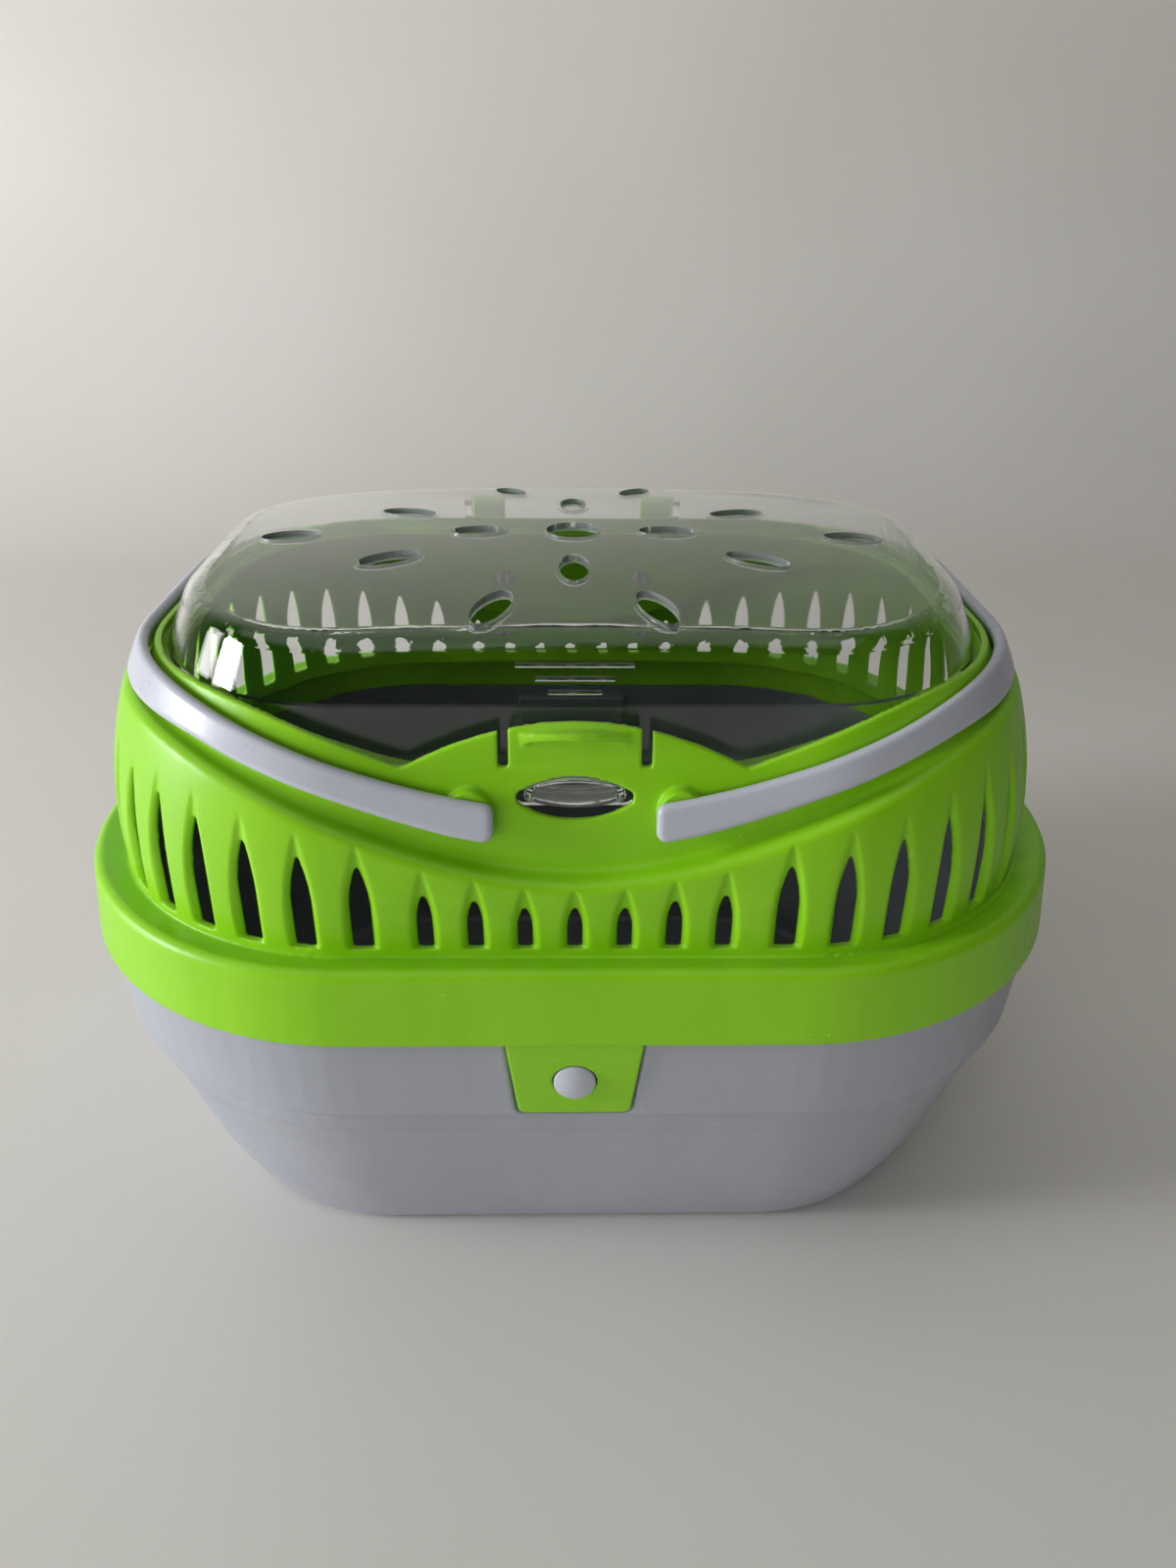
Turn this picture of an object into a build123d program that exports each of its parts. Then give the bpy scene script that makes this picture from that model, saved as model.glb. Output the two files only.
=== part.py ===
from build123d import *
import math
import os

os.makedirs("parts", exist_ok=True)

# Small animal carrier, millimetres. Origin on the floor under the middle of the
# tray, X to the right, Y to the rear, Z up. The front face looks along -Y.
#
# Every outline in plan is the same rounded rectangle at another distance: four
# corner arcs round fixed centres (CX, CY), so a wall is described by its
# distance RHO from those centres against the height Z.
CX = 60.0
CY = 24.15

# ---- tray ----
TRAY_FOOT = 59.9          # RHO of the flat underside
TRAY_MID = 72.9           # RHO at mid height of the bowl
TRAY_STEP = 83.0          # RHO just under the step
TRAY_STEP_Z = 71.25
TRAY_UPPER = 85.8         # RHO just over the step
TRAY_COLLAR = 87.0        # RHO of the collar inside the skirt
TRAY_COLLAR_Z = 106.0     # top of the collar, the cage sits on it
TRAY_WALL = 2.4

# ---- cage ----
SKIRT_LOW = 90.15         # RHO of the skirt at its lower edge
SKIRT_LOW_Z = 100.75
SKIRT_HIGH = 88.2
SKIRT_HIGH_Z = 119.6
LEDGE_Z = 120.8           # foot of the slotted wall, at the low side of the ledge
LEDGE_OUT_Z = 122.7       # ledge next to the rounded edge of the skirt
SILL_Z = 123.5            # level sill at the foot of every slot
WALL_T = 2.4              # slotted wall
ARC_Z, ARC_RHO, ARC_R = 131.342, -41.4955, 120.163   # bulged wall arc

# ---- recess that takes the handles ----
PLATE_T = 2.0
RIM_Z = 186.0             # rim on the sides and at the rear
SHOULDER_LOW = 143.0      # shoulder height in the middle
SHOULDER_RISE = 33.4
SHOULDER_X = 130.0

# ---- handles ----
PIVOT_X = 26.8
PIVOT_Z = 160.4
PIN_R = 2.6
BAR_T = 4.0

# ---- lid ----
HINGE_Y = 87.4
HINGE_Z = 190.2
LID_OY = -0.6             # lid outline sits slightly to the front
LID_CY = 24.6
LID_RHO = 56.9          # RHO of the lid flank where it starts to lean in
LID_T = 2.0


def wall_rho(z, inset=0.0):
    """RHO of the bulged wall at height z."""
    return ARC_RHO + math.sqrt(ARC_R ** 2 - (z - ARC_Z) ** 2) - inset


def shoulder_z(x):
    """Height of the smile shaped shoulder at x."""
    t = min(abs(x), SHOULDER_X) / SHOULDER_X
    return SHOULDER_LOW + SHOULDER_RISE * (1 - math.cos(math.pi * t)) / 2


# planes of the three stretches of a quarter: front, corner start, side
FRONT = Plane(origin=(0, -CY, 0), x_dir=(0, -1, 0), z_dir=(-1, 0, 0))
CORNER = Plane(origin=(-CX, -CY, 0), x_dir=(0, -1, 0), z_dir=(-1, 0, 0))
SIDE = Plane(origin=(-CX, -CY, 0), x_dir=(-1, 0, 0), z_dir=(0, 1, 0))


def all_round(draw, cx=CX, cy=CY, oy=0.0, core=None):
    """Solid that keeps one profile (RHO, Z) all round the plan outline.

    draw: function that draws the closed profile inside a BuildLine.
    core: (z0, z1) of the block between the corner centres, for profiles that
    reach RHO = 0.
    """
    front = Plane(origin=(0, -cy, 0), x_dir=(0, -1, 0), z_dir=(-1, 0, 0))
    corner = Plane(origin=(-cx, -cy, 0), x_dir=(0, -1, 0), z_dir=(-1, 0, 0))
    side = Plane(origin=(-cx, -cy, 0), x_dir=(-1, 0, 0), z_dir=(0, 1, 0))
    with BuildPart() as ring:
        with BuildSketch(front):
            with BuildLine():
                draw()
            make_face()
        extrude(amount=cx)
        with BuildSketch(corner):
            with BuildLine():
                draw()
            make_face()
        revolve(axis=Axis((-cx, -cy, 0), (0, 0, -1)), revolution_arc=90)
        with BuildSketch(side):
            with BuildLine():
                draw()
            make_face()
        extrude(amount=cy)
        mirror(about=Plane.XZ)
        mirror(about=Plane.YZ)
        if core:
            with BuildSketch(Plane.XY.offset(core[0])):
                Rectangle(2 * cx, 2 * cy)
            extrude(amount=core[1] - core[0])
    return ring.part.moved(Location((0, oy, 0)))


def elevation(points, y0, y1, close_z):
    """Block between y0 and y1 over a height curve given as (x, z) points."""
    with BuildPart() as block:
        with BuildSketch(Plane(origin=(0, y1, 0), x_dir=(1, 0, 0), z_dir=(0, -1, 0))):
            with BuildLine():
                Spline(*points, tangents=[(1, 0), (1, 0)])
                Polyline(points[-1], (points[-1][0], close_z),
                         (points[0][0], close_z), points[0])
            make_face()
        extrude(amount=y1 - y0)
    return block.part


def shoulder_points(drop=0.0):
    xs = [-170, -SHOULDER_X, -104, -78, -52, -26, 0, 26, 52, 78, 104, SHOULDER_X, 170]
    return [(x, shoulder_z(x) - drop) for x in xs]


# =====================================================================
# tray
# =====================================================================
def tray_shell():
    t = TRAY_WALL
    Line((0, 0), (TRAY_FOOT - 5.0, 0))
    ThreePointArc((TRAY_FOOT - 5.0, 0), (TRAY_FOOT - 1.9, 0.9), (TRAY_FOOT + 0.1, 3.2))
    Spline((TRAY_FOOT + 0.1, 3.2), (TRAY_FOOT + 3.3, 10), (TRAY_FOOT + 7.8, 20),
           (TRAY_MID, 35), (TRAY_MID + 4.8, 51), (TRAY_STEP - 1.5, TRAY_STEP_Z - 8.6))
    Polyline((TRAY_STEP - 1.5, TRAY_STEP_Z - 8.6), (TRAY_STEP, TRAY_STEP_Z),
             (TRAY_UPPER - 0.5, TRAY_STEP_Z + 0.5),
             (TRAY_UPPER, TRAY_STEP_Z + 1.4), (TRAY_COLLAR + 0.9, 101.0),
             (TRAY_COLLAR, 102.2), (TRAY_COLLAR - 0.1, TRAY_COLLAR_Z),
             (TRAY_COLLAR - 0.1 - t, TRAY_COLLAR_Z), (TRAY_COLLAR - 0.2 - t, 102.6),
             (TRAY_UPPER - t, TRAY_STEP_Z + 2.6), (TRAY_STEP - t, TRAY_STEP_Z + 0.4),
             (TRAY_STEP - 1.5 - t, TRAY_STEP_Z - 8.2))
    Spline((TRAY_STEP - 1.5 - t, TRAY_STEP_Z - 8.2), (TRAY_MID + 4.8 - t, 51.4),
           (TRAY_MID - t, 35.6), (TRAY_FOOT + 7.8 - t, 20.8), (TRAY_FOOT + 3.3 - t, 11.0),
           (TRAY_FOOT + 0.8 - t, 5.2))
    ThreePointArc((TRAY_FOOT + 0.8 - t, 5.2), (TRAY_FOOT - 0.4 - t, 3.4), (TRAY_FOOT - 3.0 - t, t))
    Polyline((TRAY_FOOT - 3.0 - t, t), (0, t), (0, 0))


tray_hull = all_round(tray_shell, core=(0, TRAY_WALL))

# closure tab outline (x, z), seen from the front
TAB_TOP_X, TAB_LOW_X = 18.4, 15.3
TAB_LOW_Z = 73.4
TAB_T = 2.2
STUD_R = 6.0
STUD_Z = 86.2
TAB_Y_TOP, TAB_Y_LOW = 113.4, 110.3      # front face of the tab, high and low


def tab_block(grow, back, front, z_top, z_drop=0.0):
    """Leaning slab in the shape of the tab, from 'back' behind to 'front' before
    its front face."""
    lean = math.atan2(TAB_Y_TOP - TAB_Y_LOW, SKIRT_LOW_Z - TAB_LOW_Z)
    face = Plane(origin=(0, -TAB_Y_LOW, TAB_LOW_Z), x_dir=(1, 0, 0),
                 z_dir=(0, -math.cos(lean), -math.sin(lean)))
    high = (SKIRT_LOW_Z - TAB_LOW_Z) / math.cos(lean)
    up = z_top / math.cos(lean)
    wide = TAB_LOW_X + (TAB_TOP_X - TAB_LOW_X) * up / high
    with BuildPart() as slab:
        with BuildSketch(face.offset(-back)) as outline:
            with BuildLine():
                Polyline((-TAB_LOW_X - grow, -grow - z_drop), (TAB_LOW_X + grow, -grow - z_drop),
                         (wide + grow, up), (-wide - grow, up),
                         (-TAB_LOW_X - grow, -grow - z_drop))
            make_face()
            fillet(outline.vertices().group_by(Axis.Z)[0], radius=2.4 + grow / 2)
        extrude(amount=back + front)
    return slab.part


with BuildPart() as base_tray:
    add(tray_hull)
    # pads behind the two closures, so the recess keeps a closed wall
    for s in (1, -1):
        with BuildSketch(Plane.YZ.offset(-22.5)):
            with BuildLine():
                Polyline((s * -106.4, 70.8), (s * -104.0, 68.0), (s * -105.2, 72.0),
                         (s * -105.2, 102.0), (s * -110.9, 102.0), (s * -108.6, 73.4),
                         (s * -106.4, 70.8))
            make_face()
        extrude(amount=45)
    pocket = tab_block(0.8, TAB_T + 0.35, 8.0, SKIRT_LOW_Z - TAB_LOW_Z + 3.0)
    add(pocket, mode=Mode.SUBTRACT)
    add(mirror(pocket, about=Plane.XZ, mode=Mode.PRIVATE), mode=Mode.SUBTRACT)
    # bores for the studs
    for s in (1, -1):
        with BuildSketch(Plane(origin=(0, -s * 90, STUD_Z), x_dir=(1, 0, 0), z_dir=(0, -s, 0))):
            Circle(2.5)
        extrude(amount=30, mode=Mode.SUBTRACT)

# =====================================================================
# studs: domed heads with a shank pushed into the tray wall
# =====================================================================
stud_face_y = TAB_Y_LOW + (TAB_Y_TOP - TAB_Y_LOW) * (STUD_Z - TAB_LOW_Z) / (SKIRT_LOW_Z - TAB_LOW_Z)
lean_y = stud_face_y - TAB_T - 0.35


def stud():
    with BuildPart() as s:
        with BuildSketch(Plane(origin=(0, 0, STUD_Z), x_dir=(0, -1, 0), z_dir=(1, 0, 0))):
            with BuildLine():
                Polyline((104.4, 0), (104.4, -2.9), (105.1, -2.9), (105.1, -2.46),
                         (lean_y + 0.85, -2.46), (lean_y + 0.85, -STUD_R + 0.3),
                         (stud_face_y + 0.5, -STUD_R + 0.3))
                cap = ((STUD_R - 0.3) ** 2 + 1.6 ** 2) / (2 * 1.6)
                ThreePointArc((stud_face_y + 0.5, -STUD_R + 0.3),
                              (stud_face_y + 2.1 - cap + math.sqrt(cap ** 2 - 9.0), -3.0),
                              (stud_face_y + 2.1, 0))
                Line((stud_face_y + 2.1, 0), (104.4, 0))
            make_face()
        revolve(axis=Axis((0, 0, STUD_Z), (0, -1, 0)), revolution_arc=360)
    return s.part


with BuildPart() as front_stud:
    add(stud())
with BuildPart() as rear_stud:
    add(mirror(front_stud.part, about=Plane.XZ, mode=Mode.PRIVATE))

# =====================================================================
# closure tabs: flexing tongues under the skirt, each with a round hole
# =====================================================================
def tab():
    with BuildPart() as t:
        add(tab_block(0.0, TAB_T, 0.0, SKIRT_LOW_Z - TAB_LOW_Z + 1.0))
        with BuildSketch(Plane(origin=(0, -90, STUD_Z), x_dir=(1, 0, 0), z_dir=(0, -1, 0))):
            Circle(STUD_R + 0.1)
        extrude(amount=40, mode=Mode.SUBTRACT)
        # level upper end, just under the skirt
        with BuildSketch(Plane.XY.offset(SKIRT_LOW_Z - 0.02)):
            with Locations((0, -110)):
                Rectangle(60, 40)
        extrude(amount=10, mode=Mode.SUBTRACT)
    return t.part


with BuildPart() as front_tab:
    add(tab())
with BuildPart() as rear_tab:
    add(mirror(front_tab.part, about=Plane.XZ, mode=Mode.PRIVATE))

# =====================================================================
# cage
# =====================================================================
def dome(inset, z0, z1):
    def draw():
        zm = (z0 + z1) / 2
        ThreePointArc((wall_rho(z0, inset), z0), (wall_rho(zm, inset), zm),
                      (wall_rho(z1, inset), z1))
        Polyline((wall_rho(z1, inset), z1), (0, z1), (0, z0), (wall_rho(z0, inset), z0))
    return draw


# inner wall of the recess: arc from the shoulder to the rim
RING_A, RING_B, RING_C = (70.5, 143.0), (67.0, 167.0), (59.7, 187.0)


def ring_circle():
    (x1, y1), (x2, y2), (x3, y3) = RING_A, RING_B, RING_C
    a, b = 2 * (x2 - x1), 2 * (y2 - y1)
    c = x2 * x2 + y2 * y2 - x1 * x1 - y1 * y1
    d, e = 2 * (x3 - x2), 2 * (y3 - y2)
    f = x3 * x3 + y3 * y3 - x2 * x2 - y2 * y2
    px = (c * e - b * f) / (a * e - b * d)
    py = (a * f - c * d) / (a * e - b * d)
    return px, py, math.hypot(x1 - px, y1 - py)


RING_O = ring_circle()


def ring_rho(z, inset=0.0):
    return RING_O[0] + math.sqrt(RING_O[2] ** 2 - (z - RING_O[1]) ** 2) - inset


def ring(inset, z0, z1):
    def draw():
        zm = (z0 + z1) / 2
        ThreePointArc((ring_rho(z0, inset), z0), (ring_rho(zm, inset), zm),
                      (ring_rho(z1, inset), z1))
        Polyline((ring_rho(z1, inset), z1), (0, z1), (0, z0), (ring_rho(z0, inset), z0))
    return draw


ARCH_X = 46.0      # half width of the front plate that stays nearly upright
ARCH_Z = 170.0


def plate_block(inset, z0, z1):
    """Front plate region, |x| < ARCH_X, upright above the notches."""
    slope = -0.17
    top = ring_rho(ARCH_Z, inset) + slope * (z1 - ARCH_Z)
    with BuildPart() as block:
        with BuildSketch(Plane.YZ.offset(-ARCH_X)):
            with BuildLine():
                zm = (z0 + ARCH_Z) / 2
                ThreePointArc((-CY - ring_rho(z0, inset), z0), (-CY - ring_rho(zm, inset), zm),
                              (-CY - ring_rho(ARCH_Z, inset), ARCH_Z))
                Polyline((-CY - ring_rho(ARCH_Z, inset), ARCH_Z), (-CY - top, z1),
                         (-CY, z1), (-CY, z0), (-CY - ring_rho(z0, inset), z0))
            make_face()
        extrude(amount=2 * ARCH_X)
    return block.part


def above_shoulder(drop, inset_ring):
    """What is cut away over the shoulder, outside the inner wall of the recess."""
    with BuildPart() as cut:
        add(elevation(shoulder_points(drop), -125, 125, 200))
        add(all_round(ring(inset_ring, 128, 204), core=(128, 204)), mode=Mode.SUBTRACT)
        add(plate_block(inset_ring, 128, 204), mode=Mode.SUBTRACT)
    return cut.part


cage_dome_out = all_round(dome(0.0, 119.2, 192), core=(119.2, 192))
cage_dome_in = all_round(dome(WALL_T, 115.0, 192), core=(115.0, 192))

def chain_rho(edge):
    """Distance of the middle of an edge from the corner centres, in plan."""
    c = edge.center()
    return math.hypot(max(abs(c.X) - CX, 0), max(abs(c.Y) - CY, 0))


with BuildPart() as cage_out:
    add(cage_dome_out)
    add(above_shoulder(0.0, 0.0), mode=Mode.SUBTRACT)
    edge_rows = [e for e in cage_out.edges() if 140 < e.center().Z < 190
                 and abs(e.center().Z - shoulder_z(e.center().X)) < 1.5]
    fillet([e for e in edge_rows if chain_rho(e) - ring_rho(e.center().Z) > 3], radius=3.2)
    edge_rows = [e for e in cage_out.edges() if 140 < e.center().Z < 190
                 and abs(e.center().Z - shoulder_z(e.center().X)) < 1.5]
    fillet([e for e in edge_rows if chain_rho(e) - ring_rho(e.center().Z) <= 1], radius=2.5)

with BuildPart() as cage_in:
    add(cage_dome_in)
    add(above_shoulder(2.2, PLATE_T), mode=Mode.SUBTRACT)


def skirt():
    Polyline((SKIRT_LOW, SKIRT_LOW_Z), (SKIRT_HIGH, SKIRT_HIGH_Z))
    ThreePointArc((SKIRT_HIGH, SKIRT_HIGH_Z), (SKIRT_HIGH - 0.8, LEDGE_OUT_Z - 0.85),
                  (SKIRT_HIGH - 2.9, LEDGE_OUT_Z))
    Polyline((SKIRT_HIGH - 2.9, LEDGE_OUT_Z), (78.9, LEDGE_Z + 0.2), (77.0, LEDGE_Z),
             (76.3, LEDGE_Z - 2.4), (82.4, LEDGE_Z - 2.4), (84.0, LEDGE_Z - 4.0),
             (84.4, TRAY_COLLAR_Z), (SKIRT_LOW - 1.9, TRAY_COLLAR_Z),
             (SKIRT_LOW - 1.5, SKIRT_LOW_Z), (SKIRT_LOW, SKIRT_LOW_Z))


skirt_ring = all_round(skirt)

# rim heights: flat on the sides and at the rear, low at the two front notches,
# arched over the front plate
RIM_FRONT = [(-170, RIM_Z), (-112, RIM_Z), (-100, 185.7), (-91, 184.8), (-84, 183.6),
             (-76, 181.6), (-68, 179.0), (-60, 176.1), (-52, 173.1), (-47, 171.3),
             (-44, 170.5), (-41, 171.5), (-36, 174.0), (-29, 176.8), (-20, 179.5),
             (-10, 181.4), (0, 182.0)]

with BuildPart() as rim_cut:
    with BuildSketch(Plane(origin=(0, 0, 0), x_dir=(1, 0, 0), z_dir=(0, -1, 0))):
        with BuildLine():
            Spline(*RIM_FRONT, *[(-x, z) for x, z in reversed(RIM_FRONT[:-1])],
                   tangents=[(1, 0), (1, 0)])
            Polyline((170, RIM_Z), (170, 215), (-170, 215), (-170, RIM_Z))
        make_face()
    extrude(amount=140)
    with BuildSketch(Plane.XY.offset(RIM_Z)):
        with Locations((0, 70)):
            Rectangle(340, 140)
    extrude(amount=30)


def path_point(s):
    """Point and outward normal angle on the plan outline at the wall foot.

    s is the distance from the middle of the front, positive to the right.
    """
    r = wall_rho(LEDGE_Z)
    sign = 1 if s >= 0 else -1
    d = abs(s)
    if d <= CX:
        p, a = (d, -CY - r), -90
    elif d <= CX + r * math.pi / 2:
        a = -90 + math.degrees((d - CX) / r)
        p = (CX + r * math.cos(math.radians(a)), -CY + r * math.sin(math.radians(a)))
    else:
        p, a = (CX + r, -CY + d - CX - r * math.pi / 2), 0
    if sign < 0:
        p, a = (-p[0], p[1]), 180 - a
    return p, a


def slot_tool(s, open_w, open_top, groove_w, groove_top, rear):
    """Pointed slot with a wider shallow groove round it, following the bulged wall."""
    (px, py), a = path_point(s)
    if rear:
        py, a = -py, -a
    n = (math.cos(math.radians(a)), math.sin(math.radians(a)))
    t = (-n[1], n[0])
    foot = wall_rho(LEDGE_Z)
    z0 = SILL_Z

    def open_half(z):
        u = (z - z0) / (open_top - z0)
        if u <= 0.5:
            return open_w / 2
        v = min((u - 0.5) / 0.5, 1.0)
        return open_w / 2 * (1 - v ** 1.9)

    def groove_half(z):
        u = max(z - z0, 0) / (groove_top - z0)
        if u <= 0.35:
            return groove_w / 2
        v = min((u - 0.35) / 0.65, 1.0)
        return groove_w / 2 * (1 - v ** 1.7) + 0.35 * v

    with BuildPart() as tool:
        face = Plane(origin=(px, py, 0), x_dir=(t[0], t[1], 0), z_dir=(n[0], n[1], 0))
        up = 1 if face.y_dir.Z > 0 else -1
        with BuildSketch(face.offset(-12)):
            with BuildLine():
                hs = [z0 + (open_top - z0) * k for k in (0.5, 0.7, 0.85, 0.95)]
                right = [(open_half(z), up * z) for z in hs] + [(0.0, up * open_top)]
                left = [(-x, z) for x, z in reversed(right)]
                Polyline(left[-1], (-open_w / 2, up * z0), (open_w / 2, up * z0), right[0])
                Spline(*right)
                Spline(*left)
            make_face()
        extrude(amount=24)
        for k in (0.0, 0.5, 0.8, 1.0):
            z = z0 + (groove_top - z0) * k
            shift = wall_rho(z) - foot
            depth = 1.45 if k < 0.6 else 1.45 - 1.3 * (k - 0.6) / 0.4
            wo = groove_half(z)
            wi = max(open_half(min(z, open_top)) + 0.15, wo * 0.35)
            side = [(-depth, wi), (-0.36 * depth, wi + 0.52 * (wo - wi)), (0.05, wo),
                    (0.9, wo + 1.3)]
            quad = [(px + n[0] * (shift + r) + t[0] * w, py + n[1] * (shift + r) + t[1] * w)
                    for r, w in side]
            quad += [(px + n[0] * (shift + r) - t[0] * w, py + n[1] * (shift + r) - t[1] * w)
                     for r, w in reversed(side)]
            with BuildSketch(Plane.XY.offset(z)):
                with BuildLine():
                    Polyline(*quad, close=True)
                make_face()
        loft(ruled=True)
    return tool.part


PITCH = 15.2
SLOTS = [(0.0, 3.8, 136.2, 7.4, 142.6), (12.9, 3.8, 136.3, 7.4, 142.9),
         (25.8, 3.9, 138.6, 7.4, 145.0), (38.8, 3.9, 140.3, 7.6, 147.4)]
half = CX + wall_rho(LEDGE_Z) * math.pi / 2 + CY       # front middle to side middle
TOPS = [148.5, 151.0, 154.2, 157.3, 159.6, 161.6, 163.0, 164.0, 164.6, 164.9]
for k, top in enumerate(TOPS):
    SLOTS.append((55.1 + PITCH * k, 5.3, top, 8.8, top + 6.3))
SIDE_SLOT = (half, 5.3, 165.0, 8.8, 171.3)

tools = []
for s, ow, ot, gw, gt in SLOTS:
    for sign in ((1, -1) if s > 0 else (1,)):
        for rear in (False, True):
            tools.append(slot_tool(sign * s, ow, ot, gw, gt, rear))
for sign in (1, -1):
    tools.append(slot_tool(sign * SIDE_SLOT[0], *SIDE_SLOT[1:], False))

# height of the lower edge of the lid, front half
LID_LOW = [(-170, RIM_Z - 4.0), (-112, RIM_Z - 4.0), (-100, 181.7), (-91, 180.8),
           (-84, 179.6), (-76, 177.6), (-68, 175.0), (-60, 172.1), (-52, 169.2),
           (-44, 167.0), (-32, 165.9), (-20, 165.8), (0, 165.8)]
LID_LOW = LID_LOW + [(-x, z) for x, z in reversed(LID_LOW[:-1])]
SEAT_T = 1.5


def seat_profile():
    zm = 168.0
    ThreePointArc((ring_rho(150, 1.2), 150), (ring_rho(zm, 1.2), zm), (ring_rho(188, 1.2), 188))
    Polyline((ring_rho(188, 1.2), 188), (53.6, 188), (53.6, 150), (ring_rho(150, 1.2), 150))


# seat under the lid edge, running along the inside of the rim
with BuildPart() as seat:
    add(all_round(seat_profile))
    add(elevation([(x, z - 0.15) for x, z in LID_LOW], -130, 0, 200), mode=Mode.SUBTRACT)
    with BuildSketch(Plane.XY.offset(RIM_Z - 4.15)):
        with Locations((0, 65)):
            Rectangle(340, 130)
    extrude(amount=20, mode=Mode.SUBTRACT)
    add(elevation([(x, z - 0.15 - SEAT_T) for x, z in LID_LOW], -130, 0, 120), mode=Mode.SUBTRACT)
    with BuildSketch(Plane.XY.offset(RIM_Z - 4.15 - SEAT_T)):
        with Locations((0, 65)):
            Rectangle(340, 130)
    extrude(amount=-50, mode=Mode.SUBTRACT)
    # open behind the tongue and round the handle pins
    with BuildSketch(Plane.XY.offset(140)):
        with Locations((0, -90)):
            Rectangle(2 * 19.4, 60)
    extrude(amount=60, mode=Mode.SUBTRACT)

PLATE_BOSS_Y = 95.0


def boss(x):
    """Round spacer round a front handle pivot."""
    with BuildPart() as b:
        with BuildSketch(Plane.XZ.offset(91.6)):
            with Locations((x, PIVOT_Z)):
                Circle(5.6)
        extrude(amount=PLATE_BOSS_Y - 91.6)
    return b.part


def hinge_lug(x0, x1):
    """Lug on the rear rim that carries one stub of the lid."""
    with BuildPart() as lug:
        with BuildSketch(Plane.YZ.offset(x0)):
            with BuildLine():
                Polyline((86.2, 179.6), (88.2, 178.0), (HINGE_Y + 3.6, 184.5),
                         (HINGE_Y + 3.6, HINGE_Z))
                ThreePointArc((HINGE_Y + 3.6, HINGE_Z), (HINGE_Y, HINGE_Z + 3.6),
                              (HINGE_Y - 3.6, HINGE_Z))
                Polyline((HINGE_Y - 3.6, HINGE_Z), (83.4, 185.6), (86.2, 179.6))
            make_face()
        extrude(amount=x1 - x0)
    return lug.part


with BuildPart() as cage_all:
    add(cage_out.part)
    add(skirt_ring)
    add(cage_in.part, mode=Mode.SUBTRACT)
    add(rim_cut.part, mode=Mode.SUBTRACT)
    add(seat.part)
    for x in (-PIVOT_X, PIVOT_X):
        add(boss(x))
        add(mirror(boss(x), about=Plane.XZ, mode=Mode.PRIVATE))
    add(hinge_lug(25.6, 37.0))
    add(hinge_lug(-37.0, -25.6))
    add(tools, mode=Mode.SUBTRACT)
    # pivot bores
    with BuildSketch(Plane.XZ.offset(-130)):
        with Locations((-PIVOT_X, PIVOT_Z), (PIVOT_X, PIVOT_Z)):
            Circle(PIN_R + 0.05)
    extrude(amount=260, mode=Mode.SUBTRACT)
    # bores for the lid stubs
    with BuildSketch(Plane.YZ.offset(-37.5)):
        with Locations((HINGE_Y, HINGE_Z)):
            Circle(1.86)
    extrude(amount=8, mode=Mode.SUBTRACT)
    with BuildSketch(Plane.YZ.offset(29.5)):
        with Locations((HINGE_Y, HINGE_Z)):
            Circle(1.86)
    extrude(amount=8, mode=Mode.SUBTRACT)
    # slits beside the tongue
    with BuildSketch(Plane.XZ.offset(80)):
        with Locations((-18.1, 183), (18.1, 183)):
            Rectangle(2.6, 25)
    extrude(amount=20, mode=Mode.SUBTRACT)
    # window: an eye shaped opening
    with BuildSketch(Plane.XZ.offset(80)):
        with BuildLine():
            ThreePointArc((-16.7, 162.9), (0, 168.2), (16.7, 162.9))
            ThreePointArc((16.7, 162.9), (0, 157.0), (-16.7, 162.9))
        make_face()
        fillet(vertices(), radius=2.2)
    extrude(amount=20, mode=Mode.SUBTRACT)

# the tongue flexes, so it is a piece of its own, cut from the front plate
TONGUE_X, TONGUE_Z = 16.8, 150.0
with BuildPart() as tongue_box:
    with BuildSketch(Plane.XY.offset(TONGUE_Z)):
        with Locations((0, -92)):
            Rectangle(2 * TONGUE_X, 20)
    extrude(amount=50)

with BuildPart() as cage:
    add(cage_all.part)
    add(tongue_box.part, mode=Mode.SUBTRACT)

with BuildPart() as lip_solid:
    # crescent shelf along the top of the tongue, ends turned down
    with BuildSketch(Plane.XY.offset(170)):
        with BuildLine():
            ThreePointArc((-15.0, -88.4), (0, -92.6), (15.0, -88.4))
            Polyline((15.0, -88.4), (15.0, -85.6), (-15.0, -85.6), (-15.0, -88.4))
        make_face()
    extrude(amount=20)
    with BuildSketch(Plane.XZ.offset(80)):
        with BuildLine():
            ThreePointArc((-15.0, 179.2), (0, 180.9), (15.0, 179.2))
            Polyline((15.0, 179.2), (15.0, 175.0), (13.4, 175.0), (12.4, 177.1))
            ThreePointArc((12.4, 177.1), (0, 178.9), (-12.4, 177.1))
            Polyline((-12.4, 177.1), (-13.4, 175.0), (-15.0, 175.0), (-15.0, 179.2))
        make_face()
    extrude(amount=20, mode=Mode.INTERSECT)

with BuildPart() as latch_tongue:
    add(cage_all.part)
    add(tongue_box.part, mode=Mode.INTERSECT)
    add(lip_solid.part)

# =====================================================================
# lid
# =====================================================================
FLANK = 0.5               # how much the upper flank leans in per mm of height
BULGE = 0.75              # how far it bulges out at mid height


def lid_flank(inset, z0):
    def draw():
        low = LID_RHO + 0.115 * (183.5 - z0)
        Line((low - inset, z0), (LID_RHO - inset, 183.5))
        ThreePointArc((LID_RHO - inset, 183.5), (LID_RHO - FLANK * 12.35 + BULGE - inset, 195.85),
                      (LID_RHO - FLANK * 24.7 - inset, 208.2))
        Polyline((LID_RHO - FLANK * 24.7 - inset, 208.2), (0, 208.2), (0, z0), (low - inset, z0))
    return draw


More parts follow.
